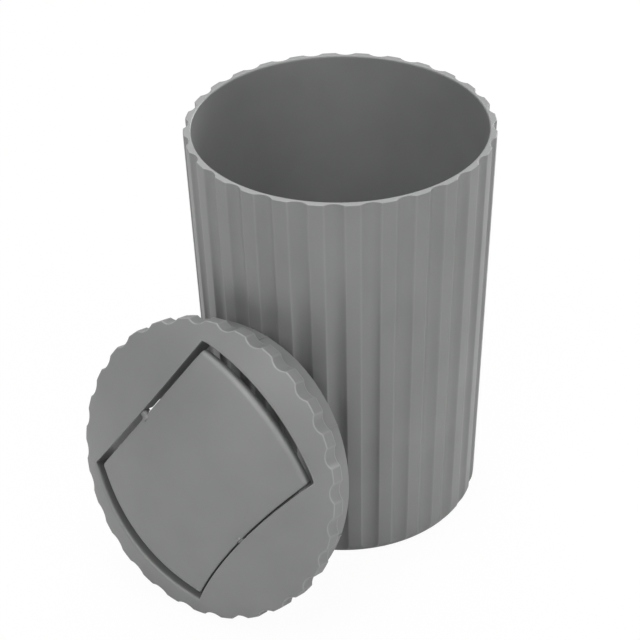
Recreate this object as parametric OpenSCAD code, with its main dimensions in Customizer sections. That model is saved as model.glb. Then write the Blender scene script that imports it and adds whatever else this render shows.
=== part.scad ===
// Round fluted waste bin with a lift-off swing lid leaning against it.
// The bin stands on z = 0, and the lid stands on one edge in front of it, at -Y.

/* [Bin body] */
// Width over the raised lands at the rim
crest_d = 200; // [140:1:280]
// Height of the body
body_h = 284; // [180:1:400]
// How far the wall comes in on each side, from the rim to the foot
foot_in = 8.25; // [2:0.25:20]
// Thickness of the rim at a land
rim_t = 5; // [4:0.1:7]
// Rounding of the foot's outer edge
foot_round = 12; // [4:0.5:20]
// Thickness of the floor
floor_t = 3; // [2:0.5:6]
// Rounding of the mouth's inner edge
lip_round = 1.2; // [0.5:0.1:2]
// Degrees the body stands turned about its own axis
body_turn = 0.75; // [0:0.25:12]

/* [Fluting] */
// Number of flutes round the body and the lid
flute_count = 28; // [20:1:40]
// Share of each pitch that the flute takes
flute_share = 0.57; // [0.4:0.01:0.7]
// Depth of a flute below the lands
flute_depth = 2.7; // [1.5:0.1:3.5]

/* [Lid] */
// Height of the fluted skirt
skirt_h = 9.7; // [5:0.1:15]
// Rise of the dome above the top of the skirt
dome_rise = 22.6; // [10:0.1:40]
// Thickness of the moulded shell
shell_t = 2.4; // [1.6:0.1:3.5]
// Gap between the mouth and the collar that plugs into it
collar_gap = 0.7; // [0.6:0.1:4]
// Length of the collar below the skirt
collar_drop = 15; // [6:0.2:30]
// Number of guide ribs on the collar
rib_count = 8; // [4:1:16]
// Height of a guide rib above the collar
rib_stand = 0.5; // [0.2:0.1:2]
// Width of a guide rib
rib_w = 1.2; // [0.8:0.1:3]

/* [Opening] */
// Space between the collar and each end of the opening, at the middle
hole_end_in = 12.3; // [6:0.1:20]
// Space between the collar and each corner of the opening
hole_corner_in = 4; // [1:0.1:8]
// How far each end bows out
hole_end_bow = 13; // [6:0.1:20]
// How far each side bows in
hole_bow = 4.3; // [1:0.1:6]
// Depth of the wall round the opening
frame_h = 17; // [12:0.5:20]
// Thickness of the wall round the opening
frame_t = 2; // [1.4:0.1:3]
// Width of the notch in that wall below each bearing
notch_w = 20; // [6:0.5:24]
// How far below the pin axis the notch starts
notch_drop = 8; // [6:0.5:10]

/* [Flap] */
// Gap between the flap and each end of the opening, at the middle
end_gap = 6.6; // [2:0.1:12]
// The same gap at the corners
end_corner_gap = 4.1; // [2:0.1:8]
// Gap between the flap and each side of the opening, at the middle
side_gap = 2.4; // [2.2:0.1:4.5]
// The same gap at the corners
side_corner_gap = 3.5; // [2.2:0.1:5]
// How far the flap lies below the dome
flap_recess = 1.8; // [0.5:0.1:4]
// Depth of the flap's turned-down rim
flap_rim_h = 5; // [3:0.1:9]
// Thickness of the flap's shell and rim
flap_t = 2; // [1.4:0.1:3]

/* [Pivot] */
// Diameter of the flap's two pins
pin_d = 5; // [3:0.1:7]
// How far the pin axis lies below the edge of the flap's face
pin_drop = 2.7; // [2.3:0.1:5]
// Radial clearance of a pin in its bearing
pin_play = 0.08; // [0.02:0.01:0.1]
// Diameter of the shoulder that keeps the flap off the side of its opening
shoulder_d = 6; // [5.2:0.1:9]
// How far the centred flap can slide to either side
end_play = 1.7; // [1.4:0.05:2]
// How far the flap has slid along its pins
flap_slip = 1.1; // [0:0.1:1.3]
// Diameter of the bearing boss in the lid
boss_d = 11; // [8:0.1:15]
// Thickness of the bearing boss
boss_t = 3.6; // [2.5:0.1:6]
// How far a centred pin ends short of the bearing boss's outer face
pin_short = 0.8; // [0.7:0.1:2]
// Share of the pin's width that the snap-in slot leaves open
slot_share = 0.7; // [0.5:0.01:0.9]

/* [Leaning lid] */
// Degrees the lid leans back from lying face up
lean = 73.4; // [60:0.1:85]
// Gap between the collar's end and the wall it leans on
lean_gap = 0.28; // [0.25:0.01:0.8]
// How far the lid stands off to the side, to the left seen from the lid's face
lean_side = 4.8; // [0:0.1:20]
// Pitches of the fluting that the lid is turned, so that it stands on two lands
lean_pitches = 2.5; // [0.5:1:27.5]

/* [Hidden] */
// Overrun of every cut, and the bite of one piece of a solid into the next
over = 1;
bite = 0.4;
// A pair of equal sides
pair = 2;
half_share = 0.5;
half_turn = 180;
full_turn = 360;
quarter = 90;
// Facets of a usual round form, and of the long arcs of the opening, the flap and the dome
$fn = 120;
arc_facets = 720;
dome_facets = 240;
crest_r = crest_d / pair;
foot_r = crest_r - foot_in;
mouth_r = crest_r - rim_t;
collar_r = mouth_r - collar_gap;
collar_in_r = collar_r - shell_t;
pitch_a = full_turn / flute_count;
flute_half_a = pitch_a * flute_share / pair;
// The wall leans out by this angle, from the foot up
draft = atan(foot_in / body_h);
foot_c = foot_r + foot_round * tan(draft) - foot_round / cos(draft);
mouth_foot_r = mouth_r - foot_in;
// The hollow's foot keeps the same centre of rounding as far as the floor allows
well_round = foot_round - floor_t;
well_z = floor_t + well_round;
well_c = mouth_foot_r + well_z * tan(draft) - well_round / cos(draft);
// A flute is an arc through both land corners and the bottom of the flute
flute_x = crest_r * cos(flute_half_a) - (crest_r - flute_depth);
flute_y = crest_r * sin(flute_half_a);
flute_r = (pow(flute_x, pair) + pow(flute_y, pair)) / (pair * flute_x);
flute_c = crest_r - flute_depth + flute_r;
foot_scale = foot_r / crest_r;
flute_tilt = atan(flute_c * foot_in / crest_r / body_h);
flute_len = body_h / cos(flute_tilt);
flute_slope = flute_r * foot_in / crest_r / flute_len;
// The dome is a ball through the edge of the skirt and the top of the rise
dome_r = (pow(crest_r, pair) + pow(dome_rise, pair)) / (pair * dome_rise);
dome_z = skirt_h + dome_rise - dome_r;
lid_top = skirt_h + dome_rise;
skirt_in_r = crest_r - flute_depth - shell_t;
// The opening is set into the collar, v along its length and u across it
hole_v = collar_in_r - hole_end_in;
hole_corner_v = hole_v - hole_end_bow;
hole_corner_u = sqrt(pow(collar_in_r - hole_corner_in, pair) - pow(hole_corner_v, pair));
hole_side_u = hole_corner_u - hole_bow;
// The flap is set into the opening
flap_v = hole_v - end_gap;
flap_corner_v = hole_corner_v - end_corner_gap;
flap_end_bow = flap_v - flap_corner_v;
flap_corner_u = hole_corner_u - side_corner_gap;
flap_side_u = hole_side_u - side_gap;
flap_bow = flap_corner_u - flap_side_u;
// Arcs of the opening and of the flap, from half a chord and its rise
hole_end_r = (pow(hole_corner_u, pair) + pow(hole_end_bow, pair)) / (pair * hole_end_bow);
hole_side_r = (pow(hole_corner_v, pair) + pow(hole_bow, pair)) / (pair * hole_bow);
flap_end_r = (pow(flap_corner_u, pair) + pow(flap_end_bow, pair)) / (pair * flap_end_bow);
flap_side_r = (pow(flap_corner_v, pair) + pow(flap_bow, pair)) / (pair * flap_bow);
pin_r = pin_d / pair;
bore_r = pin_r + pin_play;
pin_z = dome_z + sqrt(pow(dome_r - flap_recess, pair) - pow(flap_side_u, pair)) - pin_drop;
lug_d = shoulder_d + flap_t;
boss_u = hole_side_u + boss_t;
// The lid rests on the corners of two lands, and the end of its collar on the wall
lean_z = crest_r * cos(flute_half_a) * sin(lean);
touch_z = lean_z + collar_r * sin(lean) - collar_drop * cos(lean);
touch_r = foot_r + foot_in * touch_z / body_h;
lean_front = touch_r + collar_r * cos(lean) + collar_drop * sin(lean) + lean_gap;

// The body's outside, as it would be turned without its flutes
module body_outside() {
    translate([foot_c, foot_round]) circle(r = foot_round);
    polygon([
        [0, 0],
        [foot_c, 0],
        [foot_c + foot_round * cos(draft), foot_round - foot_round * sin(draft)],
        [crest_r, body_h],
        [0, body_h]
    ]);
}

// The hollow inside the body
module body_hollow() {
    translate([well_c, well_z]) circle(r = well_round);
    polygon([
        [0, floor_t],
        [well_c, floor_t],
        [well_c + well_round * cos(draft), well_z - well_round * sin(draft)],
        [mouth_r, body_h],
        [mouth_r, body_h + over],
        [0, body_h + over]
    ]);
    difference() {
        translate([mouth_r - over, body_h - lip_round]) square([over + lip_round, lip_round + over]);
        translate([mouth_r + lip_round, body_h - lip_round]) circle(r = lip_round);
    }
}

// One flute of the body, which narrows with the wall towards the foot
module body_flute() {
    translate([flute_c * foot_scale, 0, 0])
        rotate([0, flute_tilt, 0])
            translate([0, 0, -flute_depth])
                cylinder(
                    h = flute_len + pair * flute_depth,
                    r1 = flute_r * foot_scale - flute_slope * flute_depth,
                    r2 = flute_r + flute_slope * flute_depth
                );
}

module bin_body() {
    color("#858786")
        rotate([0, 0, body_turn])
            difference() {
                rotate_extrude() difference() {
                    body_outside();
                    body_hollow();
                }
                for (k = [0 : flute_count - 1])
                    rotate([0, 0, (k + half_share) * pitch_a]) body_flute();
            }
}

// The ball of the dome, or the ball that lies a given drop below it, with its poles to the sides
module dome_ball(drop) {
    translate([0, 0, dome_z]) rotate([quarter, 0, 0]) sphere(r = dome_r - drop, $fn = dome_facets);
}

// Plan of the opening, grown by an amount on every side
module hole_plan(grow) {
    barrel_plan(hole_v, hole_end_r, hole_side_u, hole_side_r, grow);
}

// Plan of the flap, shrunk by an amount on every side
module flap_plan(shrink) {
    barrel_plan(flap_v, flap_end_r, flap_side_u, flap_side_r, -shrink);
}

// A plan with two bowed-out ends and two sides that bow in
module barrel_plan(half_v, end_r, side_u, side_r, grow) {
    difference() {
        intersection() {
            translate([0, half_v - end_r]) circle(r = end_r + grow, $fn = arc_facets);
            translate([0, end_r - half_v]) circle(r = end_r + grow, $fn = arc_facets);
        }
        for (s = [-1, 1])
            translate([s * (side_u + side_r), 0]) circle(r = side_r - grow, $fn = arc_facets);
    }
}

// A plan carried up through the whole lid
module through_lid() {
    translate([0, 0, -over]) linear_extrude(height = lid_top + pair * over) children();
}

// The domed shell with its skirt, and the ledge inside the skirt that rests on the rim
module lid_shell() {
    difference() {
        intersection() {
            cylinder(r = crest_r, h = lid_top);
            dome_ball(0);
        }
        intersection() {
            translate([0, 0, shell_t]) cylinder(r = skirt_in_r, h = lid_top);
            dome_ball(shell_t);
        }
        translate([0, 0, -over]) cylinder(r = collar_in_r, h = shell_t + pair * over);
    }
}

// The collar that plugs into the mouth, with its guide ribs
module lid_collar() {
    difference() {
        translate([0, 0, -collar_drop]) cylinder(r = collar_r, h = collar_drop + bite);
        translate([0, 0, -collar_drop - over]) cylinder(r = collar_in_r, h = collar_drop + pair * over);
    }
    for (k = [0 : rib_count - 1])
        rotate([0, 0, quarter + (k + half_share) * full_turn / rib_count])
            translate([collar_r - bite, -rib_w / pair, rib_stand - collar_drop])
                cube([rib_stand + bite, rib_w, collar_drop - rib_stand + bite]);
}

// The wall round the opening and the two bearing bosses on its outside
module lid_frame() {
    intersection() {
        union() {
            difference() {
                through_lid() hole_plan(frame_t);
                dome_ball(frame_h);
            }
            for (s = [0, half_turn])
                rotate([0, 0, s])
                    translate([hole_side_u - bite, 0, pin_z])
                        rotate([0, quarter, 0]) cylinder(d = boss_d, h = boss_t + bite);
        }
        dome_ball(bite);
    }
}

// A bearing bore, the slot that a pin snaps in through, and the notch that leads to the slot
module bearing_cut() {
    translate([hole_side_u - over, 0, pin_z])
        rotate([0, quarter, 0]) cylinder(r = bore_r, h = boss_t + pair * over);
    translate([hole_side_u - over, -slot_share * pin_r, pin_z - frame_h])
        cube([boss_t + pair * over, slot_share * pin_d, frame_h]);
    translate([hole_side_u - over, -notch_w / pair, pin_z - frame_h])
        cube([boss_t + pair * over, notch_w, frame_h - notch_drop]);
}

// The lid in its own frame, with the foot of the skirt at z = 0
module lid_flat() {
    difference() {
        union() {
            lid_shell();
            lid_collar();
            lid_frame();
        }
        through_lid() hole_plan(0);
        for (k = [0 : flute_count - 1])
            rotate([0, 0, quarter + (k + half_share) * pitch_a])
                translate([flute_c, 0, -over]) cylinder(r = flute_r, h = lid_top + pair * over);
        for (s = [0, half_turn])
            rotate([0, 0, s]) bearing_cut();
    }
}

// The flap in the lid's frame
module flap_flat() {
    difference() {
        intersection() {
            difference() {
                through_lid() flap_plan(0);
                dome_ball(flap_recess + flap_rim_h);
            }
            dome_ball(flap_recess);
        }
        intersection() {
            through_lid() flap_plan(flap_t);
            dome_ball(flap_recess + flap_t);
        }
    }
    for (s = [0, half_turn])
        rotate([0, 0, s]) flap_pin();
}

// One pin, with its shoulder and the lug that joins it to the flap's rim
module flap_pin() {
    intersection() {
        translate([flap_side_u - flap_t - bite, 0, pin_z])
            rotate([0, quarter, 0]) cylinder(d = lug_d, h = flap_t);
        dome_ball(flap_recess + bite);
    }
    translate([flap_side_u - flap_t, 0, pin_z])
        rotate([0, quarter, 0])
            cylinder(d = shoulder_d, h = hole_side_u - end_play - flap_side_u + flap_t);
    translate([flap_side_u - flap_t, 0, pin_z])
        rotate([0, quarter, 0]) cylinder(r = pin_r, h = boss_u - pin_short - flap_side_u + flap_t);
}

// Stands the lid on two of its lands, face outwards, leaning back on the bin
module leaning() {
    translate([-lean_side, -lean_front, lean_z])
        rotate([lean, 0, 0])
            rotate([0, 0, -lean_pitches * pitch_a])
                children();
}

module lid_ring() {
    color("#7f8180") leaning() lid_flat();
}

module swing_flap() {
    color("#7c7e7d") leaning() translate([flap_slip, 0, 0]) flap_flat();
}

bin_body();
lid_ring();
swing_flap();
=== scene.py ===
"""Looks of a round fluted waste bin, with its swing lid lifted off and leaning against it.

The three mouldings are closed surfaces worked out with numpy, with the soft edges that the
solids of the frame don't have: the body, the lid with its opening, and the flap with its
pins. Lengths are in millimetres until a mesh is written, which is in metres.
"""

import logging
import math
from dataclasses import dataclass, field, replace
from enum import Enum

import bpy
import numpy as np
from mathutils import Matrix, Vector


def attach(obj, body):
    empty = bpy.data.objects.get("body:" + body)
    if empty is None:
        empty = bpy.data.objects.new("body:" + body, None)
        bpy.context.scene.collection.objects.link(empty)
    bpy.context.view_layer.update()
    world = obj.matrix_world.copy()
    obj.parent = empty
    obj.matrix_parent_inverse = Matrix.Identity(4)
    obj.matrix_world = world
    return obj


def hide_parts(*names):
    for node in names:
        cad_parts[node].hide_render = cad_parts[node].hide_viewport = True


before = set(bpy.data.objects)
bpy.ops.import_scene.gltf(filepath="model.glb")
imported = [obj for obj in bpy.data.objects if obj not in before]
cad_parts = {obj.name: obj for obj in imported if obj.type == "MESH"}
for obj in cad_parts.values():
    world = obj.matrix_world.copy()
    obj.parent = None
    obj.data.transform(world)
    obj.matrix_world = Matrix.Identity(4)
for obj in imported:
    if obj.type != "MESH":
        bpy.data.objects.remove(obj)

METRES = 0.001
FULL_TURN = 2.0 * math.pi
QUARTER_TURN = math.pi / 2.0
FAR_AWAY = 1.0e3
FINE_STEPS = 40001
# The mesh attribute that paints light into the colour: a painted highlight on rounded edges, painted shade on
# the walls of gaps.
PAINTED_LIGHT_MARK = "edge"
# The mark of a gap's wall, which paints shade into its colour.
PAINTED_GAP_SHADE = -1.0
WHITE = (1.0, 1.0, 1.0, 1.0)
Rows = np.ndarray | float
Solid = tuple[np.ndarray, list[list[int]]]
log = logging.getLogger("waste_bin")


class Body(Enum):
    """The bodies of the frame that the pieces ride on."""

    BIN = "bin"
    LID = "lid"
    FLAP = "flap"


class Cut(Enum):
    """How a boolean modifier joins a tool to a moulding."""

    ADD = "UNION"
    TAKE = "DIFFERENCE"


def soft_least(first: np.ndarray, second: np.ndarray, blend: float) -> np.ndarray:
    """The lesser of two surfaces, rounded where they meet.

    In words: the lesser of the two, less a quarter of the blend times the square of how
    far, as a share of the blend, the two are closer than the blend.

    Args:
        first: One surface's distances.
        second: The other surface's distances.
        blend: Difference at which the rounding starts.

    Returns:
        The rounded lesser distances.
    """
    near = np.maximum(blend - np.abs(first - second), 0.0) / blend
    return np.minimum(first, second) - near * near * blend / 4.0


def crowded_turn(count: int, marks: np.ndarray, width: float = 0.012, weight: float = 5.0) -> np.ndarray:
    """Angles round a full turn, crowded near some marks.

    In words: the density is one plus a bell of the given weight and width at each mark,
    and the angles cut the density's running sum into equal shares.

    Args:
        count: How many angles.
        marks: Angles to crowd near, in radians.
        width: Half width of each bell, in radians.
        weight: Height of each bell above the plain density.

    Returns:
        The angles, from 0 up to a full turn, in radians.
    """
    fine = np.linspace(0.0, FULL_TURN, FINE_STEPS)
    density = np.ones_like(fine)
    for mark in np.atleast_1d(marks):
        away = np.abs((fine - mark + math.pi) % FULL_TURN - math.pi)
        density += weight * np.exp(-((away / width) ** 2))
    running = np.concatenate([[0.0], np.cumsum(0.5 * (density[1:] + density[:-1]))])
    wanted = np.arange(count) / count * running[-1]
    return np.interp(wanted, running, fine)


def quarter_steps(count: int) -> np.ndarray:
    """Angles from 0 to a quarter turn, in radians."""
    return np.linspace(0.0, QUARTER_TURN, count)


@dataclass(frozen=True)
class Placement:
    """Where a moulding's own frame lies in the row frame.

    Its origin is in millimetres, and its axes are the rows of a matrix: first across, as the
    pins point, then along the opening, then out of the face.
    """

    origin: np.ndarray = field(default_factory=lambda: np.zeros(3))
    axes: np.ndarray = field(default_factory=lambda: np.eye(3))

    def to_row(self, points: np.ndarray) -> np.ndarray:
        """Points of the moulding's own frame, carried to the row frame.

        Args:
            points: Points in millimetres, one per row.

        Returns:
            Points in the row frame, in metres.
        """
        return (points @ self.axes + self.origin) * METRES

    def slid(self, across: float) -> "Placement":
        """The same frame, slid along its first axis."""
        return replace(self, origin=self.origin + across * self.axes[0])


@dataclass(frozen=True)
class Fluting:
    """The flutes round the body and the lid: arcs that cut into a round land."""

    count: int = 28
    share: float = 0.57
    depth: float = 2.7
    crest: float = 100.0
    blend: float = 0.45
    # Painted highlight along the land corners, and its half width in radians.
    glint: float = 0.4
    glint_turn: float = 0.006

    @property
    def pitch(self) -> float:
        """Angle from one flute to the next, in radians."""
        return FULL_TURN / self.count

    @property
    def half(self) -> float:
        """Angle from a flute's middle to its land corners, in radians."""
        return self.pitch * self.share / 2.0

    @property
    def arc(self) -> tuple[float, float]:
        """Radius of a flute's arc, and how far its centre lies from the axis."""
        rise = self.crest * math.cos(self.half) - (self.crest - self.depth)
        chord = self.crest * math.sin(self.half)
        radius = (rise * rise + chord * chord) / (2.0 * rise)
        return radius, self.crest - self.depth + radius

    def corners(self, first: float) -> np.ndarray:
        """Angles of all the land corners, where the first flute's middle is at an angle."""
        middles = first + np.arange(self.count) * self.pitch
        return np.concatenate([middles - self.half, middles + self.half])

    def corner_glint(self, angle: np.ndarray, first: float) -> np.ndarray:
        """The painted highlight at each angle: full on a land corner, and none away from it."""
        away = np.abs((angle[:, None] - self.corners(first) + math.pi) % FULL_TURN - math.pi).min(axis=1)
        return self.glint * np.exp(-((away / self.glint_turn) ** 2))

    def outline(
        self, angle: np.ndarray, first: float, scale: np.ndarray, land: np.ndarray, inset: np.ndarray
    ) -> np.ndarray:
        """Distance from the axis to the fluted outside.

        In words: the lesser of the land's radius and the near crossing of the ray with
        the flute's circle, both moved in by the inset, with a rounded corner.

        Args:
            angle: Angles round the axis, in radians.
            first: Angle of the first flute's middle.
            scale: The fluting's size as a share of its size at the rim.
            land: Radius of the lands.
            inset: How far the whole outline is moved in.

        Returns:
            The distances, broadcast over the arguments.
        """
        radius, centre = self.arc
        turn = (angle - first + self.pitch / 2.0) % self.pitch - self.pitch / 2.0
        reach = centre * scale
        ball = radius * scale + inset
        under = ball**2 - (reach * np.sin(turn)) ** 2
        flute = np.where(under > 0.0, reach * np.cos(turn) - np.sqrt(np.maximum(under, 0.0)), FAR_AWAY)
        return soft_least(land - inset, flute, self.blend)


@dataclass(frozen=True)
class Barrel:
    """A plan with two bowed-out ends and two sides that bow in."""

    half_length: float
    corner_length: float
    corner_width: float
    bow: float
    corner_blend: float
    end_blend: float = math.radians(8.0)

    @property
    def side(self) -> float:
        """Half width at the waist, where the sides are closest."""
        return self.corner_width - self.bow

    def outline(self, angle: np.ndarray, grow: Rows) -> np.ndarray:
        """Distance from the middle to the plan's edge.

        In words: the lesser of the far crossing of the ray with the end's circle and the
        near crossing with the side's circle, with a rounded corner.

        Args:
            angle: Angles from the axis of the pins, in radians.
            grow: How far the edge is moved out.

        Returns:
            The distances, broadcast over the arguments.
        """
        rise = self.half_length - self.corner_length
        end_radius = (self.corner_width**2 + rise**2) / (2.0 * rise)
        side_radius = (self.corner_length**2 + self.bow**2) / (2.0 * self.bow)
        end_centre = self.half_length - end_radius
        side_centre = self.side + side_radius
        to_end = np.abs(np.sin(angle)) * end_centre
        end = to_end + np.sqrt(to_end**2 - end_centre**2 + (end_radius + grow) ** 2)
        to_side = np.abs(np.cos(angle)) * side_centre
        under = to_side**2 - side_centre**2 + (side_radius - grow) ** 2
        side = np.where(under > 0.0, to_side - np.sqrt(np.maximum(under, 0.0)), FAR_AWAY)
        return soft_least(end, side, self.corner_blend)

    def rounding(self, angle: np.ndarray, at_ends: float, at_sides: float) -> np.ndarray:
        """The rounding of the plan's edge, which eases from the sides' size to the ends'.

        Args:
            angle: Angles from the axis of the pins, in radians.
            at_ends: Rounding along the ends.
            at_sides: Rounding along the sides.

        Returns:
            The rounding at each angle.
        """
        corner = math.atan2(self.corner_length, self.corner_width)
        lean = np.arctan2(np.abs(np.sin(angle)), np.abs(np.cos(angle)))
        share = np.clip((lean - corner) / self.end_blend + 0.5, 0.0, 1.0)
        return share * share * (3.0 - 2.0 * share) * (at_ends - at_sides) + at_sides

    def corners(self) -> np.ndarray:
        """Angles of the four corners."""
        one = math.atan2(self.corner_length, self.corner_width)
        return np.array([one, math.pi - one, math.pi + one, FULL_TURN - one])


@dataclass(frozen=True)
class Dome:
    """The ball that the lid's face and the flap's face lie on."""

    crest: float = 100.0
    skirt: float = 9.7
    rise: float = 22.6

    @property
    def ball(self) -> float:
        """Radius of the ball."""
        return (self.crest**2 + self.rise**2) / (2.0 * self.rise)

    def height(self, distance: Rows, drop: float) -> Rows:
        """Height of a ball that lies a drop inside the dome, over a distance from the axis."""
        middle = self.skirt + self.rise - self.ball
        return middle + np.sqrt((self.ball - drop) ** 2 - distance**2)


class Surface:
    """A closed surface gathered row by row, each row going once round the axis."""

    def __init__(self, angle: np.ndarray) -> None:
        """Starts an empty surface over the given angles."""
        self.angle = angle
        self.distance: list[np.ndarray] = []
        self.height: list[np.ndarray] = []
        # Each row's painted light: a painted highlight on edges, painted shade in gaps.
        self.edge: list[np.ndarray] = []

    def add(self, distance: Rows, height: Rows, edge: Rows = 0.0) -> None:
        """Adds a row, or one row for each entry of a first axis.

        Args:
            distance: Distances from the axis.
            height: Heights over the plane of the moulding's own frame.
            edge: The painted light at each point: a painted highlight on an outer edge, from 0 to 1, or
                painted shade in a gap, down to -1.
        """
        given = np.broadcast_arrays(*(np.asarray(part, float) for part in (distance, height, edge)))
        for rows, part in zip((self.distance, self.height, self.edge), given):
            part = np.atleast_1d(part)
            if part.shape[-1] != self.angle.size:
                part = part[..., None]
            part = part.reshape(-1, part.shape[-1])
            rows.append(np.broadcast_to(part, (len(part), self.angle.size)))

    def edges(self, poles: int = 0) -> np.ndarray:
        """The painted highlight and shade marks of all the points, with zeros for as many poles."""
        return np.concatenate([np.concatenate(self.edge).ravel(), np.zeros(poles)])

    def grid(self) -> np.ndarray:
        """The points of all the rows, as rows by angles by three."""
        far, high = np.concatenate(self.distance), np.concatenate(self.height)
        return np.stack([far * np.cos(self.angle), far * np.sin(self.angle), high], axis=-1)

    def looped(self) -> tuple[np.ndarray, np.ndarray, np.ndarray]:
        """The surface closed like a ring, its last row joined to its first.

        Returns:
            Points, quads and an empty list of triangles.
        """
        points = self.grid()
        return points.reshape(-1, 3), ring_quads(*points.shape[:2], loop=True), np.zeros((0, 3), int)

    def capped(self) -> tuple[np.ndarray, np.ndarray, np.ndarray]:
        """The surface closed by a point on the axis at each end.

        Returns:
            Points, quads and the triangles of the two caps.
        """
        points = self.grid()
        rows, columns = points.shape[:2]
        poles = np.array([[0.0, 0.0, points[0, :, 2].mean()], [0.0, 0.0, points[-1, :, 2].mean()]])
        here = np.arange(columns)
        there = np.roll(here, -1)
        last = (rows - 1) * columns
        first_cap = np.stack([np.full(columns, rows * columns), there, here], axis=1)
        last_cap = np.stack([np.full(columns, rows * columns + 1), last + here, last + there], axis=1)
        whole = np.concatenate([points.reshape(-1, 3), poles])
        return whole, ring_quads(rows, columns, loop=False), np.concatenate([first_cap, last_cap])


def ring_quads(rows: int, columns: int, loop: bool) -> np.ndarray:
    """Quads of a grid that is closed round its columns, and round its rows too if asked."""
    steps = rows if loop else rows - 1
    row = np.arange(steps)[:, None]
    column = np.arange(columns)[None, :]
    after = (column + 1) % columns
    lower, upper = row * columns, (row + 1) % rows * columns
    corners = (lower + column, lower + after, upper + after, upper + column)
    return np.stack(np.broadcast_arrays(*corners), axis=-1).reshape(-1, 4)


def new_piece(
    name: str, points: np.ndarray, quads: np.ndarray, triangles: np.ndarray, edges: np.ndarray | None = None
) -> bpy.types.Object:
    """A mesh object with its faces outwards, from arrays in metres.

    Args:
        name: Name of the object.
        points: Points, one per row.
        quads: Four point numbers per row.
        triangles: Three point numbers per row.
        edges: The painted highlight and shade mark of each point, kept as an attribute.

    Returns:
        The object, linked to the scene.
    """
    corner = np.concatenate([quads[:, [0, 1, 2]], quads[:, [0, 2, 3]], triangles])
    first, second, third = (points[corner[:, number]] for number in range(3))
    if np.einsum("ij,ij->i", first, np.cross(second, third)).sum() < 0.0:
        quads, triangles = quads[:, ::-1], triangles[:, ::-1]
    mesh = bpy.data.meshes.new(name)
    mesh.vertices.add(len(points))
    mesh.vertices.foreach_set("co", points.astype(np.float32).ravel())
    numbers = np.concatenate([quads.ravel(), triangles.ravel()])
    mesh.loops.add(len(numbers))
    mesh.loops.foreach_set("vertex_index", numbers.astype(np.int32))
    starts = np.concatenate([np.arange(len(quads)) * 4, quads.size + np.arange(len(triangles)) * 3])
    mesh.polygons.add(len(starts))
    mesh.polygons.foreach_set("loop_start", starts.astype(np.int32))
    mesh.update(calc_edges=True)
    if edges is not None:
        mesh.attributes.new(PAINTED_LIGHT_MARK, "FLOAT", "POINT").data.foreach_set("value", edges.astype(np.float32))
    piece = bpy.data.objects.new(name, mesh)
    bpy.context.scene.collection.objects.link(piece)
    return piece


def both_sides(outline: np.ndarray, low: float, high: float) -> list[Solid]:
    """A flat outline carried along the pins' axis, and the same solid turned to the other side.

    Args:
        outline: Points of the outline as along and height, one per row, going round.
        low: Where the solid starts, across.
        high: Where it ends.

    Returns:
        Points and faces of the two solids.
    """
    count = len(outline)
    near = np.column_stack([np.full(count, low), outline])
    far = np.column_stack([np.full(count, high), outline])
    here = np.arange(count)
    there = np.roll(here, -1)
    sides = np.stack([here, there, there + count, here + count], axis=1).tolist()
    faces = [*sides, here[::-1].tolist(), (here + count).tolist()]
    points = np.concatenate([near, far])
    return [(points, faces), (points * np.array([-1.0, -1.0, 1.0]), faces)]


def round_outline(radius: float, height: float, count: int = 48) -> np.ndarray:
    """A circle round the pins' axis, which lies at a height, as along and height."""
    turn = np.arange(count) / count * FULL_TURN
    return np.column_stack([radius * np.cos(turn), height + radius * np.sin(turn)])


def tool_from(parts: list[Solid], place: Placement, name: str) -> bpy.types.Object:
    """One hidden tool for a boolean modifier, made of several closed parts.

    Args:
        parts: Points in millimetres and faces of each part.
        place: Where the moulding's own frame lies.
        name: Name of the tool.

    Returns:
        The tool object.
    """
    points, faces, start = [], [], 0
    for part_points, part_faces in parts:
        points.append(part_points)
        faces += [[start + number for number in face] for face in part_faces]
        start += len(part_points)
    mesh = bpy.data.meshes.new(name)
    mesh.from_pydata(place.to_row(np.concatenate(points)).tolist(), [], faces)
    mesh.update()
    tool = bpy.data.objects.new(name, mesh)
    bpy.context.scene.collection.objects.link(tool)
    return tool


def carve(piece: bpy.types.Object, tool: bpy.types.Object, how: Cut) -> None:
    """Joins a tool to a piece or takes it away, and deletes the tool.

    Args:
        piece: The piece that changes.
        tool: The tool, used up.
        how: Whether the tool is added or taken away.
    """
    modifier = piece.modifiers.new(how.name, "BOOLEAN")
    modifier.operation = how.value
    modifier.object = tool
    modifier.solver = "MANIFOLD"
    whole = bpy.data.meshes.new_from_object(piece.evaluated_get(bpy.context.evaluated_depsgraph_get()))
    piece.modifiers.clear()
    before, piece.data = piece.data, whole
    whole.name = piece.name
    bpy.data.meshes.remove(before)
    bpy.data.objects.remove(tool)


def dress(piece: bpy.types.Object, material: bpy.types.Material, sharp_degrees: float = 40.0) -> None:
    """Shades a piece smooth, with its edges sharp above an angle, and gives it its one finish."""
    mesh = piece.data
    mesh.materials.clear()
    mesh.materials.append(material)
    mesh.polygons.foreach_set("material_index", np.zeros(len(mesh.polygons), np.int32))
    mesh.polygons.foreach_set("use_smooth", np.ones(len(mesh.polygons), bool))
    mesh.set_sharp_from_angle(angle=math.radians(sharp_degrees))


def blank_nodes(
    owner: bpy.types.Material | bpy.types.World,
) -> tuple[bpy.types.Nodes, bpy.types.NodeLinks]:
    """Empties the node tree of a material or a world, and gives its nodes and links."""
    owner.use_nodes = True
    owner.node_tree.nodes.clear()
    return owner.node_tree.nodes, owner.node_tree.links


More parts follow.
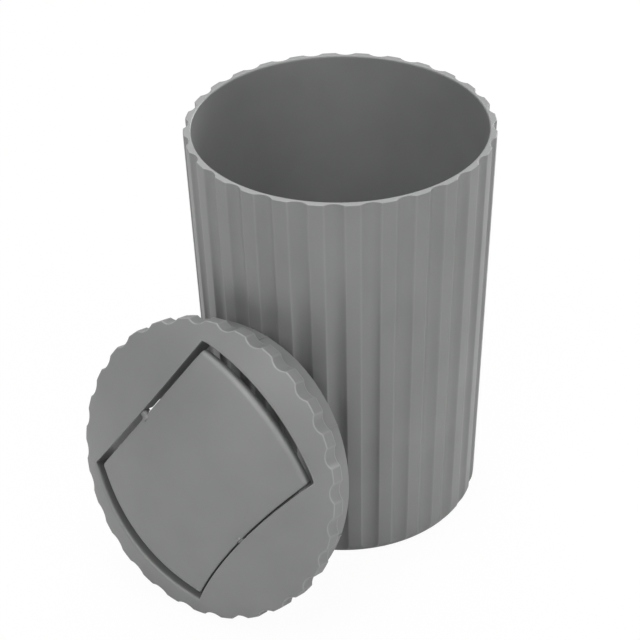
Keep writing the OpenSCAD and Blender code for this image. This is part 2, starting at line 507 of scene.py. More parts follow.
@dataclass(frozen=True)
class MouldedPlastic:
    """A satin polypropylene moulding with a fine spark-eroded grain, a painted highlight on its rounded edges
    and painted shade on the walls of its gaps.

    Colours are plain linear values. Sizes of the patterns are in metres.
    """

    name: str
    base: tuple[float, float, float] = (0.235, 0.24, 0.237)
    roughness: float = 0.42
    grain: float = 0.00045
    grain_height: float = 0.00002
    grain_strength: float = 0.35
    cloud: float = 0.05
    cloud_depth: float = 0.06
    # How strongly the edge mark paints highlight and shade into the colour.
    painted_light_lift: float = 0.34
    specular: float = 0.5

    def build(self, grain_group: bpy.types.NodeTree) -> bpy.types.Material:
        """Makes the material.

        Args:
            grain_group: The shared group that puts out colour, roughness and height.

        Returns:
            The material.
        """
        material = bpy.data.materials.new(self.name)
        nodes, links = blank_nodes(material)
        output = nodes.new("ShaderNodeOutputMaterial")
        shader = nodes.new("ShaderNodeBsdfPrincipled")
        shader.inputs["Specular IOR Level"].default_value = self.specular
        group = nodes.new("ShaderNodeGroup")
        group.node_tree = grain_group
        group.inputs["Colour"].default_value = (*self.base, 1.0)
        group.inputs["Roughness"].default_value = self.roughness
        group.inputs["Grain Scale"].default_value = 1.0 / self.grain
        group.inputs["Cloud Scale"].default_value = 1.0 / self.cloud
        group.inputs["Cloud Depth"].default_value = self.cloud_depth
        group.inputs["Painted Light Lift"].default_value = self.painted_light_lift
        bump = nodes.new("ShaderNodeBump")
        bump.inputs["Strength"].default_value = self.grain_strength
        bump.inputs["Distance"].default_value = self.grain_height
        links.new(group.outputs["Colour"], shader.inputs["Base Color"])
        links.new(group.outputs["Roughness"], shader.inputs["Roughness"])
        links.new(group.outputs["Height"], bump.inputs["Height"])
        links.new(bump.outputs["Normal"], shader.inputs["Normal"])
        links.new(shader.outputs["BSDF"], output.inputs["Surface"])
        return material


@dataclass(frozen=True)
class MouldedGrainAndPaintedLight:
    """The shared node group of a moulded surface: its clouded colour with a painted highlight on edges and
    painted shade in gaps, its roughness and grain.
    """

    name: str = "moulded_grain_and_painted_light"
    cloud_detail: float = 3.0
    grain_detail: float = 2.0
    roughness_spread: float = 0.03
    noise_low: float = 0.3
    noise_high: float = 0.7

    def sockets(self, group: bpy.types.NodeTree) -> None:
        """Gives the group its named inputs and outputs."""
        inputs = (
            ("Colour", "NodeSocketColor", (0.2, 0.2, 0.2, 1.0)),
            ("Roughness", "NodeSocketFloat", 0.5),
            ("Grain Scale", "NodeSocketFloat", 2000.0),
            ("Cloud Scale", "NodeSocketFloat", 20.0),
            ("Cloud Depth", "NodeSocketFloat", 0.05),
            ("Painted Light Lift", "NodeSocketFloat", 0.4),
        )
        for name, kind, value in inputs:
            socket = group.interface.new_socket(name, in_out="INPUT", socket_type=kind)
            socket.default_value = value
        outputs = {"Colour": "NodeSocketColor", "Roughness": "NodeSocketFloat", "Height": "NodeSocketFloat"}
        for name, kind in outputs.items():
            group.interface.new_socket(name, in_out="OUTPUT", socket_type=kind)

    def build(self) -> bpy.types.NodeTree:
        """Makes the group.

        In words: the colour is the given one times one plus a broad noise times the cloud
        depth, times one plus the edge mark times its lift, which paints a highlight on rounded edges and
        shade on the walls of gaps.

        Returns:
            The node group.
        """
        group = bpy.data.node_groups.new(self.name, "ShaderNodeTree")
        self.sockets(group)
        nodes, links = group.nodes, group.links
        entry, leave = nodes.new("NodeGroupInput"), nodes.new("NodeGroupOutput")
        place = nodes.new("ShaderNodeTexCoord")

        def noise(scale_socket: str, detail: float) -> bpy.types.NodeSocket:
            """A noise on the piece's own coordinates, at a scale that comes into the group."""
            node = nodes.new("ShaderNodeTexNoise")
            node.inputs["Detail"].default_value = detail
            links.new(place.outputs["Object"], node.inputs["Vector"])
            links.new(entry.outputs[scale_socket], node.inputs["Scale"])
            return node.outputs["Fac"]

        def ranged(source: bpy.types.NodeSocket, spread: float) -> bpy.types.NodeSocket:
            """A noise's usual range, carried to a spread on both sides of zero."""
            node = nodes.new("ShaderNodeMapRange")
            node.inputs["From Min"].default_value = self.noise_low
            node.inputs["From Max"].default_value = self.noise_high
            node.inputs["To Min"].default_value = -spread
            node.inputs["To Max"].default_value = spread
            links.new(source, node.inputs["Value"])
            return node.outputs["Result"]

        def joined(
            how: str, first: bpy.types.NodeSocket, second: bpy.types.NodeSocket
        ) -> bpy.types.NodeSocket:
            """Two values put together by a Math node, whose third term, if it has one, is one."""
            node = nodes.new("ShaderNodeMath")
            node.operation = how
            node.inputs[2].default_value = 1.0
            links.new(first, node.inputs[0])
            links.new(second, node.inputs[1])
            return node.outputs["Value"]

        cloud, grain = noise("Cloud Scale", self.cloud_detail), noise("Grain Scale", self.grain_detail)
        # The edge mark, which paints a highlight on rounded edges and shade on the walls of gaps.
        edge = nodes.new("ShaderNodeAttribute")
        edge.attribute_name = PAINTED_LIGHT_MARK
        clouded = joined("MULTIPLY_ADD", ranged(cloud, 1.0), entry.outputs["Cloud Depth"])
        painted_light_factor = joined("MULTIPLY_ADD", edge.outputs["Fac"], entry.outputs["Painted Light Lift"])
        tint = nodes.new("ShaderNodeVectorMath")
        tint.operation = "SCALE"
        links.new(entry.outputs["Colour"], tint.inputs[0])
        links.new(joined("MULTIPLY", clouded, painted_light_factor), tint.inputs["Scale"])
        links.new(tint.outputs["Vector"], leave.inputs["Colour"])
        rough = joined("ADD", entry.outputs["Roughness"], ranged(grain, self.roughness_spread))
        links.new(rough, leave.inputs["Roughness"])
        links.new(grain, leave.inputs["Height"])
        return group


@dataclass
class BinBody:
    """The body: a tapered, fluted pail with a flat rim and a rounded foot.

    The rows' sizes say where the wall's rows of points lie: a near row guards the shading
    of a rounding, and the others share out the plain wall between two heights.
    """

    fluting: Fluting = field(default_factory=Fluting)
    height: float = 284.0
    foot_in: float = 8.25
    rim: float = 5.0
    foot_round: float = 12.0
    floor: float = 3.0
    lip_round: float = 1.2
    edge_round: float = 0.5
    turn_degrees: float = 0.75
    rim_glint: float = 0.8
    columns: int = 784
    near_row: float = 1.0
    edge_row: float = 0.4
    outer_rows_from: float = 20.0
    outer_rows_below: float = 2.0
    inner_rows_from: float = 260.0
    inner_rows_to: float = 30.0

    @property
    def mouth(self) -> float:
        """Radius of the mouth."""
        return self.fluting.crest - self.rim

    def widened(self, at_foot: Rows, high: Rows) -> Rows:
        """A radius at the foot, widened by the wall's lean up to a height."""
        return at_foot + self.foot_in * high / self.height

    def outside(self, high: Rows) -> Rows:
        """Radius of the lands at a height."""
        return self.widened(self.fluting.crest - self.foot_in, high)

    def surface(self) -> Surface:
        """The whole skin, from under the foot over the rim to the floor inside.

        In words: each row has a plain radius and a height; outside, the fluted outline at
        that height caps the radius.

        Returns:
            The surface, open at its two ends on the axis.
        """
        flutes, crest = self.fluting, self.fluting.crest
        first = math.radians(self.turn_degrees) + flutes.pitch / 2.0
        surface = Surface(crowded_turn(self.columns, flutes.corners(first)))
        draft = math.atan(self.foot_in / self.height)
        # Painted highlight along the land corners.
        corner = flutes.corner_glint(surface.angle, first)

        def add_outside(plain: np.ndarray, high: np.ndarray, inset: np.ndarray, edge: Rows = 0.0) -> None:
            """Adds rows of the fluted outside at their plain radii and heights, with a painted highlight on
            the land corners and along any given edge.
            """
            scale = self.outside(high)[:, None] / crest
            far = flutes.outline(surface.angle, first, scale, plain[:, None], inset[:, None])
            surface.add(far, high[:, None], np.maximum(corner, np.reshape(edge, (-1, 1))))

        centre = self.outside(0.0) + self.foot_round * math.tan(draft) - self.foot_round / math.cos(draft)
        surface.add(np.array([0.2, 0.5, 0.8, 0.97, 1.0]) * centre, 0.0)
        sweep = np.linspace(0.0, QUARTER_TURN - draft, 21)[1:]
        arc_height = self.foot_round * (1.0 - np.cos(sweep))
        add_outside(centre + self.foot_round * np.sin(sweep), arc_height, np.zeros_like(sweep))
        top = self.height - self.edge_round
        plain_rows = np.linspace(self.outer_rows_from, top - self.outer_rows_below, 11)
        climb = np.concatenate([[arc_height[-1] + self.near_row], plain_rows, [top - self.edge_row]])
        add_outside(self.outside(climb), climb, np.zeros_like(climb))
        bend = quarter_steps(6)
        inset = self.edge_round * (1.0 - np.cos(bend))
        high = top + self.edge_round * np.sin(bend)
        # The rim's outer rounding gets a painted highlight.
        add_outside(np.full_like(bend, crest), high, inset, np.sin(2.0 * bend) * self.rim_glint)
        self.add_inside(surface, draft)
        return surface

    def add_inside(self, surface: Surface, draft: float) -> None:
        """Adds the top of the rim, the inside of the wall and the floor.

        Args:
            surface: The surface so far, up to the rim's outer edge.
            draft: The wall's lean, in radians.
        """
        edge, lip = surface.distance[-1][-1], self.lip_round
        share = np.array([0.2, 0.5, 0.8])[:, None]
        surface.add(edge + (self.mouth + lip - edge) * share, self.height)
        bend = quarter_steps(7)
        surface.add(self.mouth + lip * (1.0 - np.sin(bend)), self.height - lip * (1.0 - np.cos(bend)))
        well = self.foot_round - self.floor
        well_high = self.floor + well
        mouth_foot = self.mouth - self.foot_in
        plain_rows = np.linspace(self.inner_rows_from, self.inner_rows_to, 8)
        fall = np.concatenate([[self.height - lip - self.near_row], plain_rows, [well_high + self.near_row]])
        surface.add(self.widened(mouth_foot, fall), fall)
        centre = mouth_foot + well_high * math.tan(draft) - well / math.cos(draft)
        sweep = np.linspace(QUARTER_TURN - draft, 0.0, 14)
        surface.add(centre + well * np.sin(sweep), well_high - well * np.cos(sweep))
        surface.add(np.array([0.97, 0.8, 0.5, 0.2]) * centre, self.floor)

    def build(self, material: bpy.types.Material) -> bpy.types.Object:
        """Makes the body, which stands for the frame's plainer one.

        Args:
            material: The body's finish.

        Returns:
            The object.
        """
        surface = self.surface()
        points, quads, triangles = surface.capped()
        piece = new_piece("fluted_body", Placement().to_row(points), quads, triangles, surface.edges(2))
        dress(piece, material)
        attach(piece, Body.BIN.value)
        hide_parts("bin_body")
        return piece


@dataclass
class SwingLid:
    """The lid ring with its opening, collar and bearings, and the flap that turns in it.

    Heights are over the foot of the skirt, with the lid face up. A root is how far a form
    starts inside the one that carries it, and a guard row keeps a soft edge's shading crisp.
    """

    pail: BinBody = field(default_factory=BinBody)
    dome: Dome = field(default_factory=Dome)
    lean_degrees: float = 73.4
    lean_gap: float = 0.28
    lean_side: float = 4.8
    lean_pitches: float = 2.5
    shell: float = 2.4
    collar_gap: float = 0.7
    collar_drop: float = 15.0
    collar_round: float = 0.5
    opening_end_in: float = 12.3
    opening_corner_in: float = 4.0
    opening_end_bow: float = 13.0
    opening_bow: float = 4.3
    opening_blend: float = 1.3
    opening_end_round: float = 2.3
    opening_side_round: float = 0.5
    opening_glint: float = 0.4
    frame_height: float = 17.0
    frame_low: float = -1.0
    frame_wall: float = 2.0
    edge_round: float = 0.7
    foot_round: float = 0.7
    rib_count: int = 8
    rib_stand: float = 0.5
    rib_wide: float = 1.2
    rib_root: float = 1.0
    rib_top: float = 0.4
    end_gap: float = 6.6
    end_corner_gap: float = 4.1
    side_gap: float = 2.4
    side_corner_gap: float = 3.5
    flap_blend: float = 1.6
    recess: float = 1.8
    flap_rim: float = 5.0
    flap_rim_round: float = 0.15
    flap_wall: float = 2.0
    flap_end_round: float = 2.6
    flap_side_round: float = 0.8
    flap_glint: float = 0.2
    slip: float = 1.1
    pin: float = 2.5
    pin_drop: float = 2.7
    pin_play: float = 0.08
    pin_short: float = 0.8
    pin_root: float = 1.2
    shoulder: float = 3.0
    shoulder_root: float = 1.0
    lug_in: float = 0.4
    end_play: float = 1.7
    boss: float = 5.5
    boss_wall: float = 3.6
    boss_root: float = 0.5
    boss_cover: float = 0.6
    slot_share: float = 0.7
    notch_half: float = 10.0
    notch_drop: float = 8.0
    overrun: float = 1.0
    guard: float = 0.3
    columns: int = 900
    flap_columns: int = 420

    @property
    def collar(self) -> float:
        """Outer radius of the collar, which plugs into the body's mouth."""
        return self.pail.mouth - self.collar_gap

    @property
    def collar_in(self) -> float:
        """Inner radius of the collar."""
        return self.collar - self.shell

    @property
    def opening(self) -> Barrel:
        """The opening's plan, set into the collar."""
        half_length = self.collar_in - self.opening_end_in
        corner_length = half_length - self.opening_end_bow
        corner_width = math.sqrt((self.collar_in - self.opening_corner_in) ** 2 - corner_length**2)
        return Barrel(half_length, corner_length, corner_width, self.opening_bow, self.opening_blend)

    @property
    def flap(self) -> Barrel:
        """The flap's plan, set into the opening by the gaps at its ends, sides and corners."""
        hole = self.opening
        corner_width = hole.corner_width - self.side_corner_gap
        bow = corner_width - (hole.side - self.side_gap)
        half_length, corner_length = hole.half_length - self.end_gap, hole.corner_length - self.end_corner_gap
        return Barrel(half_length, corner_length, corner_width, bow, self.flap_blend)

    @property
    def pin_height(self) -> float:
        """Height of the pins' axis, a drop below the flap's face at its waist."""
        return float(self.dome.height(self.flap.side, self.recess)) - self.pin_drop

    @property
    def place(self) -> Placement:
        """Where the lid's own frame lies.

        In words: the lid lies face up, is turned clockwise by its pitches and tipped back,
        stands on the corners of two lands, and the end of its collar stays the gap away
        from the body's lands.
        """
        flutes = self.pail.fluting
        turn, lean = -self.lean_pitches * flutes.pitch, math.radians(self.lean_degrees)
        turned = np.array(
            [[math.cos(turn), -math.sin(turn), 0.0], [math.sin(turn), math.cos(turn), 0.0], [0.0, 0.0, 1.0]]
        )
        tipped = np.array(
            [[1.0, 0.0, 0.0], [0.0, math.cos(lean), -math.sin(lean)], [0.0, math.sin(lean), math.cos(lean)]]
        )
        high = flutes.crest * math.cos(flutes.half) * math.sin(lean)
        touch = high + self.collar * math.sin(lean) - self.collar_drop * math.cos(lean)
        behind = self.collar * math.cos(lean) + self.collar_drop * math.sin(lean) + self.lean_gap
        origin = np.array([-self.lean_side, -self.pail.outside(touch) - behind, high])
        return Placement(origin, (tipped @ turned).T)

    def opening_rounding(self, angle: np.ndarray) -> np.ndarray:
        """Rounding of the opening's edge at each angle."""
        return self.opening.rounding(angle, self.opening_end_round, self.opening_side_round)

    def skirt_outline(self, angle: np.ndarray, first: float, inset: Rows) -> np.ndarray:
        """The skirt's fluted outline, moved in by each inset."""
        flutes, one = self.pail.fluting, np.ones((1, 1))
        return flutes.outline(angle, first, one, flutes.crest * one, np.reshape(inset, (-1, 1)))

    def ring_surface(self) -> Surface:
        """The lid ring as one closed loop of rows.

        In words: at each angle the profile goes over the opening's soft edge, out along
        the dome, over the fluted edge, down the skirt, and back underneath along the
        collar, the pocket and the wall round the opening.

        Returns:
            The surface, whose last row meets its first.
        """
        flutes = self.pail.fluting
        first = QUARTER_TURN + flutes.pitch / 2.0
        marks = np.concatenate([flutes.corners(first), np.repeat(self.opening.corners(), 3)])
        surface = Surface(crowded_turn(self.columns, marks))
        self.add_face(surface, first)
        self.add_skirt(surface, first)
        self.add_underside(surface)
        self.add_opening_wall(surface)
        return surface

    def add_face(self, surface: Surface, first: float) -> None:
        """Adds the opening's soft edge and the face.

        Args:
            surface: The surface, still empty.
            first: Angle of the first flute's middle.
        """
        soft = self.opening_rounding(surface.angle)
        bend = quarter_steps(8)[:, None]
        grown = self.opening.outline(surface.angle, soft * (1.0 - np.cos(bend)))
        high = self.dome.height(grown, 0.0) - soft * (1.0 - np.sin(bend))
        # The opening's soft edge gets a painted highlight.
        surface.add(grown, high, np.sin(2.0 * bend) * self.opening_glint)
        near, far = grown[-1], self.skirt_outline(surface.angle, first, self.edge_round)[0]
        share = np.array([0.02, 0.06, 0.2, 0.4, 0.6, 0.8, 0.94, 0.98])[:, None]
        face = near + (far - near) * share
        surface.add(face, self.dome.height(face, 0.0))

    def add_skirt(self, surface: Surface, first: float) -> None:
        """Adds the fluted edge, the skirt and its foot.

        Args:
            surface: The surface so far, up to the edge of the face.
            first: Angle of the first flute's middle.
        """
        angle = surface.angle
        # Painted highlight along the flutes' land corners.
        corner = self.pail.fluting.corner_glint(angle, first)
        bend = quarter_steps(8)[::-1, None]
        edge = self.skirt_outline(angle, first, self.edge_round * (1.0 - np.cos(bend)))
        high = self.dome.height(edge, 0.0) - self.edge_round * (1.0 - np.sin(bend))
        # The fluted edge's rounding gets a painted highlight.
        surface.add(edge, high, np.maximum(np.sin(2.0 * bend), corner))
        wall, top = edge[-1], high[-1]
        share = np.array([0.06, 0.35, 0.65, 0.94])[:, None]
        surface.add(wall, top + (self.foot_round - top) * share, corner)
        bend = quarter_steps(5)[:, None]
        foot = self.skirt_outline(angle, first, self.foot_round * (1.0 - np.cos(bend)))
        # The foot's rounding gets a painted highlight too.
        surface.add(foot, self.foot_round * (1.0 - np.sin(bend)), np.maximum(np.cos(bend), corner))

    def add_underside(self, surface: Surface) -> None:
        """Adds the ledge, the collar and the inside of the skirt and the dome."""
        outer, inner, guard = self.collar, self.collar_in, self.guard
        drop, soft = -self.collar_drop, self.collar_round
        surface.add(np.array([outer + guard, outer, outer]), np.array([0.0, 0.0, -guard]))
        surface.add(outer, drop + soft + guard)
        bend = quarter_steps(4)
        surface.add(outer - soft * (1.0 - np.cos(bend)), drop + soft * (1.0 - np.sin(bend)))
        surface.add(inner + soft * (1.0 - np.sin(bend)), drop + soft * (1.0 - np.cos(bend)))
        surface.add(np.array([inner, inner]), np.array([drop + soft + guard, self.shell]))
        pocket = self.pail.fluting.crest - self.pail.fluting.depth - self.shell
        roof = float(self.dome.height(pocket, self.shell))
        surface.add(np.array([pocket, pocket]), np.array([self.shell, roof]))
        wall = self.opening.outline(surface.angle, self.frame_wall)
        share = np.array([0.75, 0.5, 0.25, 0.0])[:, None]
        under = wall + (pocket - wall) * share
        surface.add(under, self.dome.height(under, self.shell))

    def add_opening_wall(self, surface: Surface) -> None:
        """Adds the wall round the opening, down its outside and up its inside, with painted shade on the
        inside.
        """
        wall = self.opening.outline(surface.angle, self.frame_wall)
        lower = np.maximum(self.dome.height(wall, self.frame_height), self.frame_low)
        surface.add(wall, lower + self.guard)
        surface.add(wall, lower)
        inside = self.opening.outline(surface.angle, 0.0)
        # The inside of the wall, which the flap's gaps show, gets painted shade, fading out near the face.
        surface.add(inside, lower, PAINTED_GAP_SHADE)
        high = self.dome.height(inside, 0.0) - self.opening_rounding(surface.angle)
        share = np.array([0.04, 0.3, 0.6, 0.9, 0.96])[:, None]
        painted_shade_share = np.array([1.0, 1.0, 1.0, 0.7, 0.3])[:, None]
        surface.add(inside, lower + (high - lower) * share, PAINTED_GAP_SHADE * painted_shade_share)

    def keyhole_outline(self, steps: int = 40) -> np.ndarray:
        """The bearing bore, the snap-in slot below it and the wider notch, as along and height."""
        bore, slot, notch = self.pin + self.pin_play, self.slot_share * self.pin, self.notch_half
        mouth = math.asin(slot / bore)
        turn = np.linspace(mouth - QUARTER_TURN, 3.0 * QUARTER_TURN - mouth, steps)
        arc = np.column_stack([bore * np.cos(turn), self.pin_height + bore * np.sin(turn)])
        low, step = self.pin_height - self.frame_height, self.pin_height - self.notch_drop
        below = [[-slot, step], [-notch, step], [-notch, low], [notch, low], [notch, step], [slot, step]]
        return np.concatenate([arc, below])

    def ribs(self) -> list[Solid]:
        """The thin guide ribs outside the collar, each a bar that starts inside its wall."""
        faces = [[0, 3, 2, 1], [4, 5, 6, 7], [0, 1, 5, 4], [1, 2, 6, 5], [2, 3, 7, 6], [3, 0, 4, 7]]
        half = self.rib_wide / 2.0
        near, far = self.collar - self.rib_root, self.collar + self.rib_stand
        plan = np.array([[near, -half], [far, -half], [far, half], [near, half]])
        levels = np.repeat([self.rib_stand - self.collar_drop, self.rib_top], len(plan))
        made = []
        for number in range(self.rib_count):
            turn = QUARTER_TURN + (number + 0.5) * FULL_TURN / self.rib_count
            spin = np.array([[math.cos(turn), math.sin(turn)], [-math.sin(turn), math.cos(turn)]])
            made.append((np.column_stack([np.tile(plan @ spin, (2, 1)), levels]), faces))
        return made

    def build_ring(self, material: bpy.types.Material) -> bpy.types.Object:
        """Makes the lid ring with its bosses, ribs, bores and slots.

        Args:
            material: The lid's finish.

        Returns:
            The object.
        """
        surface, place = self.ring_surface(), self.place
        points, quads, triangles = surface.looped()
        piece = new_piece("lid_moulding", place.to_row(points), quads, triangles, surface.edges())
        side, outer = self.opening.side, self.opening.side + self.boss_wall
        disc = round_outline(self.boss, self.pin_height)
        disc[:, 1] = np.minimum(disc[:, 1], self.dome.height(outer, self.boss_cover))
        boss = both_sides(disc, side + self.boss_root, outer)
        carve(piece, tool_from(boss + self.ribs(), place, "additions"), Cut.ADD)
        bore = both_sides(self.keyhole_outline(), side - self.overrun, outer + self.overrun)
        carve(piece, tool_from(bore, place, "bores"), Cut.TAKE)
        dress(piece, material)
        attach(piece, Body.LID.value)
        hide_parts("lid_ring")
        return piece

    def flap_surface(self) -> Surface:
        """The flap as one skin, from the middle of its face round its rim to underneath.

        Returns:
            The surface, open at its two ends on the axis.
        """
        dome, plan, recess = self.dome, self.flap, self.recess
        angle = crowded_turn(self.flap_columns, plan.corners(), width=0.03, weight=8.0)
        surface = Surface(angle)
        soft = plan.rounding(angle, self.flap_end_round, self.flap_side_round)
        bend = quarter_steps(9)[::-1, None]
        edge = plan.outline(angle, -soft * (1.0 - np.cos(bend)))
        share = np.array([0.08, 0.3, 0.5, 0.7, 0.85, 0.94, 0.98])[:, None]
        surface.add(edge[0] * share, dome.height(edge[0] * share, recess))
        high = dome.height(edge, recess) - soft * (1.0 - np.sin(bend))
        # The flap's soft edge gets a painted highlight.
        surface.add(edge, high, np.sin(2.0 * bend) * self.flap_glint)
        wall, top = edge[-1], high[-1]
        lower = dome.height(wall, recess + self.flap_rim)
        # The flap's rim wall and the inside of its wall get painted shade.
        share = np.array([0.1, 0.5, 0.85])[:, None]
        painted_shade_share = np.array([0.3, 1.0, 1.0])[:, None]
        surface.add(wall, top + (lower - top) * share, PAINTED_GAP_SHADE * painted_shade_share)
        bend = quarter_steps(4)[:, None]
        rim = plan.outline(angle, -self.flap_rim_round * (1.0 - np.cos(bend)))
        surface.add(rim, lower + self.flap_rim_round * (1.0 - np.sin(bend)), PAINTED_GAP_SHADE)
        inner = plan.outline(angle, -self.flap_wall)
        surface.add(inner, dome.height(inner, recess + self.flap_rim), PAINTED_GAP_SHADE)
        surface.add(inner, dome.height(inner, recess + self.flap_wall), PAINTED_GAP_SHADE)
        share = np.array([0.98, 0.9, 0.7, 0.4, 0.08])[:, None]
        surface.add(inner * share, dome.height(inner * share, recess + self.flap_wall))
        return surface

    def build_flap(self, material: bpy.types.Material) -> bpy.types.Object:
        """Makes the flap with its two pins, their shoulders and lugs.

        Args:
            material: The flap's finish.

        Returns:
            The object.
        """
        surface, place = self.flap_surface(), self.place.slid(self.slip)
        points, quads, triangles = surface.capped()
        piece = new_piece("flap_moulding", place.to_row(points), quads, triangles, surface.edges(2))
        side, hole = self.flap.side, self.opening.side
        lug = self.shoulder + self.flap_wall / 2.0
        solids = (
            (lug, side - self.flap_wall - self.lug_in, side - self.lug_in),
            (self.shoulder, side - self.shoulder_root, hole - self.end_play),
            (self.pin, side - self.pin_root, hole + self.boss_wall - self.pin_short),
        )
        for radius, low, high in solids:
            pair = both_sides(round_outline(radius, self.pin_height), low, high)
            carve(piece, tool_from(pair, place, "pins"), Cut.ADD)
        dress(piece, material)
        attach(piece, Body.FLAP.value)
        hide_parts("swing_flap")
        return piece


@dataclass(frozen=True)
class Softbox:
    """One square lamp that points at the object. Lengths are in metres, power in watts."""

    name: str
    at: tuple[float, float, float]
    size: float
    power: float
    aim: tuple[float, float, float] = (0.0, -0.05, 0.14)

    def build(self) -> bpy.types.Object:
        """Makes the lamp."""
        lamp = bpy.data.lights.new(self.name, "AREA")
        lamp.shape = "SQUARE"
        lamp.size = self.size
        lamp.energy = self.power
        thing = bpy.data.objects.new(self.name, lamp)
        thing.location = self.at
        thing.rotation_euler = (Vector(self.aim) - Vector(self.at)).to_track_quat("-Z", "Y").to_euler()
        bpy.context.scene.collection.objects.link(thing)
        return thing


@dataclass(frozen=True)
class Viewpoint:
    """Where the photograph was taken from. Lengths are in metres, angles in radians.

    The camera stands on a circle round the bin's axis, pitched down, and is then yawed and
    rolled a little. Its focal length is in pixels of the photograph's square frame, and
    its sensor's width in millimetres.
    """

    turn: float = math.radians(35.34)
    pitch: float = 0.6051675
    yaw: float = -0.0142428
    roll: float = -0.021282
    away: float = 1.0834021
    high: float = 0.8824119
    focal_pixels: float = 1936.5063
    frame_pixels: float = 640.0
    sensor: float = 36.0
    clip_start: float = 0.01

    def build(self) -> bpy.types.Object:
        """Makes the camera.

        Returns:
            The camera object, made the scene's own.
        """
        ahead = math.cos(self.pitch)
        forward = Vector((math.sin(self.yaw) * ahead, math.cos(self.yaw) * ahead, -math.sin(self.pitch)))
        right = Vector((math.cos(self.yaw), -math.sin(self.yaw), 0.0))
        up = right.cross(forward)
        level_right = math.cos(self.roll) * right + math.sin(self.roll) * up
        level_up = math.cos(self.roll) * up - math.sin(self.roll) * right
        spin = Matrix.Rotation(self.turn, 3, "Z")
        axes = Matrix((spin @ level_right, spin @ level_up, -(spin @ forward))).transposed()
        data = bpy.data.cameras.new("camera")
        data.sensor_width = self.sensor
        data.lens = self.focal_pixels * self.sensor / self.frame_pixels
        data.clip_start = self.clip_start
        camera = bpy.data.objects.new("camera", data)
        stand = spin @ Vector((0.0, -self.away, self.high))
        camera.matrix_world = Matrix.Translation(stand) @ axes.to_4x4()
        bpy.context.scene.collection.objects.link(camera)
        bpy.context.scene.camera = camera
        return camera


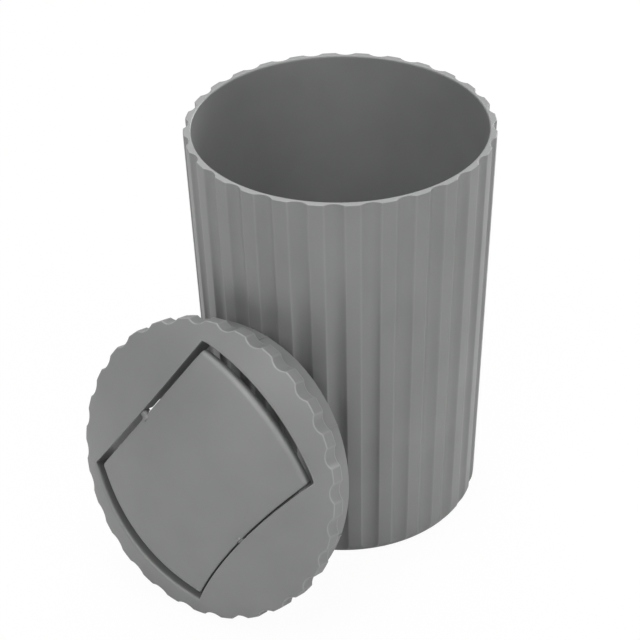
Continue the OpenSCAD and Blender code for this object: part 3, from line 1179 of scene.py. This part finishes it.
@dataclass(frozen=True)
class Studio:
    """The pale floor, the even world, the lamps and the camera. Lengths are in metres.

    The nook is the hidden stretch of floor between the lid's foot and the body, which the
    camera sees in its own shade, while it sees the rest of the floor as nearly plain white.
    """

    world: float = 0.2
    floor_half: float = 3.0
    floor_grey: float = 0.8
    floor_glow: float = 0.965
    nook_at: tuple[float, float, float] = (-0.03, -0.09, 0.0)
    nook_half: tuple[float, float, float] = (0.045, 0.035, 1.0)
    nook_fade: float = 0.7
    viewpoint: Viewpoint = field(default_factory=Viewpoint)
    lamps: tuple[Softbox, ...] = (
        Softbox("overhead", (0.0, -0.05, 2.04), 1.2, 13.5),
        Softbox("key", (0.0, -1.27, 1.6), 0.9, 11.8),
        Softbox("key_low", (0.0, -1.84, 0.79), 0.9, 1.3),
        Softbox("side", (1.22, -0.05, 1.6), 0.9, 8.6),
        Softbox("side_low", (1.79, -0.05, 0.79), 0.9, 2.7),
        Softbox("back_left", (-0.86, 0.81, 1.6), 0.9, 10.8),
        Softbox("back_low", (0.0, 1.74, 0.79), 0.9, 17.0),
    )

    def build_world(self) -> None:
        """An even pale world, which the camera sees as plain white."""
        world = bpy.data.worlds.new("studio")
        bpy.context.scene.world = world
        nodes, links = blank_nodes(world)
        output, pick = nodes.new("ShaderNodeOutputWorld"), nodes.new("ShaderNodeMixShader")
        path = nodes.new("ShaderNodeLightPath")
        links.new(path.outputs["Is Camera Ray"], pick.inputs["Fac"])
        for socket, strength in ((1, self.world), (2, 1.0)):
            sky = nodes.new("ShaderNodeBackground")
            sky.inputs["Color"].default_value = WHITE
            sky.inputs["Strength"].default_value = strength
            links.new(sky.outputs["Background"], pick.inputs[socket])
        links.new(pick.outputs["Shader"], output.inputs["Surface"])

    def floor_share(self, nodes: bpy.types.Nodes, links: bpy.types.NodeLinks) -> bpy.types.NodeSocket:
        """How much of the floor's white the camera sees: none in the nook, and most outside it.

        In words: the share climbs with the distance from the nook's middle, measured in
        the nook's half widths, from the fade up to one.

        Args:
            nodes: The floor's nodes.
            links: Their links.

        Returns:
            The socket with the share, from 0 to 1.
        """
        place = nodes.new("ShaderNodeTexCoord")
        moved, shrunk, away = (nodes.new("ShaderNodeVectorMath") for _ in range(3))
        moved.operation, shrunk.operation, away.operation = "SUBTRACT", "DIVIDE", "LENGTH"
        moved.inputs[1].default_value = self.nook_at
        shrunk.inputs[1].default_value = self.nook_half
        ramp = nodes.new("ShaderNodeMapRange")
        ramp.inputs["From Min"].default_value = self.nook_fade
        ramp.inputs["To Max"].default_value = self.floor_glow
        links.new(place.outputs["Object"], moved.inputs[0])
        links.new(moved.outputs["Vector"], shrunk.inputs[0])
        links.new(shrunk.outputs["Vector"], away.inputs[0])
        links.new(away.outputs["Value"], ramp.inputs["Value"])
        return ramp.outputs["Result"]

    def build_floor(self) -> bpy.types.Object:
        """A pale floor that keeps a light shadow and is nearly plain white to the camera."""
        half = self.floor_half
        points = np.array([[-half, -half, 0.0], [half, -half, 0.0], [half, half, 0.0], [-half, half, 0.0]])
        floor = new_piece("floor", points, np.array([[0, 1, 2, 3]]), np.zeros((0, 3), int))
        material = bpy.data.materials.new("floor")
        nodes, links = blank_nodes(material)
        output, pick = nodes.new("ShaderNodeOutputMaterial"), nodes.new("ShaderNodeMixShader")
        plain, glow = nodes.new("ShaderNodeBsdfDiffuse"), nodes.new("ShaderNodeEmission")
        plain.inputs["Color"].default_value = (self.floor_grey, self.floor_grey, self.floor_grey, 1.0)
        glow.inputs["Color"].default_value = WHITE
        path, share = nodes.new("ShaderNodeLightPath"), nodes.new("ShaderNodeMath")
        share.operation = "MULTIPLY"
        links.new(path.outputs["Is Camera Ray"], share.inputs[0])
        links.new(self.floor_share(nodes, links), share.inputs[1])
        links.new(share.outputs["Value"], pick.inputs["Fac"])
        links.new(plain.outputs["BSDF"], pick.inputs[1])
        links.new(glow.outputs["Emission"], pick.inputs[2])
        links.new(pick.outputs["Shader"], output.inputs["Surface"])
        floor.data.materials.append(material)
        return floor

    def build(self) -> None:
        """Makes the whole studio."""
        bpy.context.scene.view_settings.view_transform = "Standard"
        self.build_world()
        self.build_floor()
        for lamp in self.lamps:
            lamp.build()
        self.viewpoint.build()


def corners(box: tuple[Vector, Vector]) -> list[list[float]]:
    """A box as plain lists of numbers."""
    return [list(map(float, corner)) for corner in box]


def main() -> None:
    """Builds the object and its studio."""
    logging.basicConfig(level=logging.INFO, format="%(name)s: %(message)s")
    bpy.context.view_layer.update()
    grain = MouldedGrainAndPaintedLight().build()
    body_finish = MouldedPlastic("body_plastic").build(grain)
    lid_finish = MouldedPlastic("lid_plastic").build(grain)
    flap_finish = MouldedPlastic("flap_plastic").build(grain)
    body = BinBody()
    lid = SwingLid(pail=body)
    made = [body.build(body_finish), lid.build_ring(lid_finish), lid.build_flap(flap_finish)]
    Studio().build()


if __name__ == "__main__":
    main()
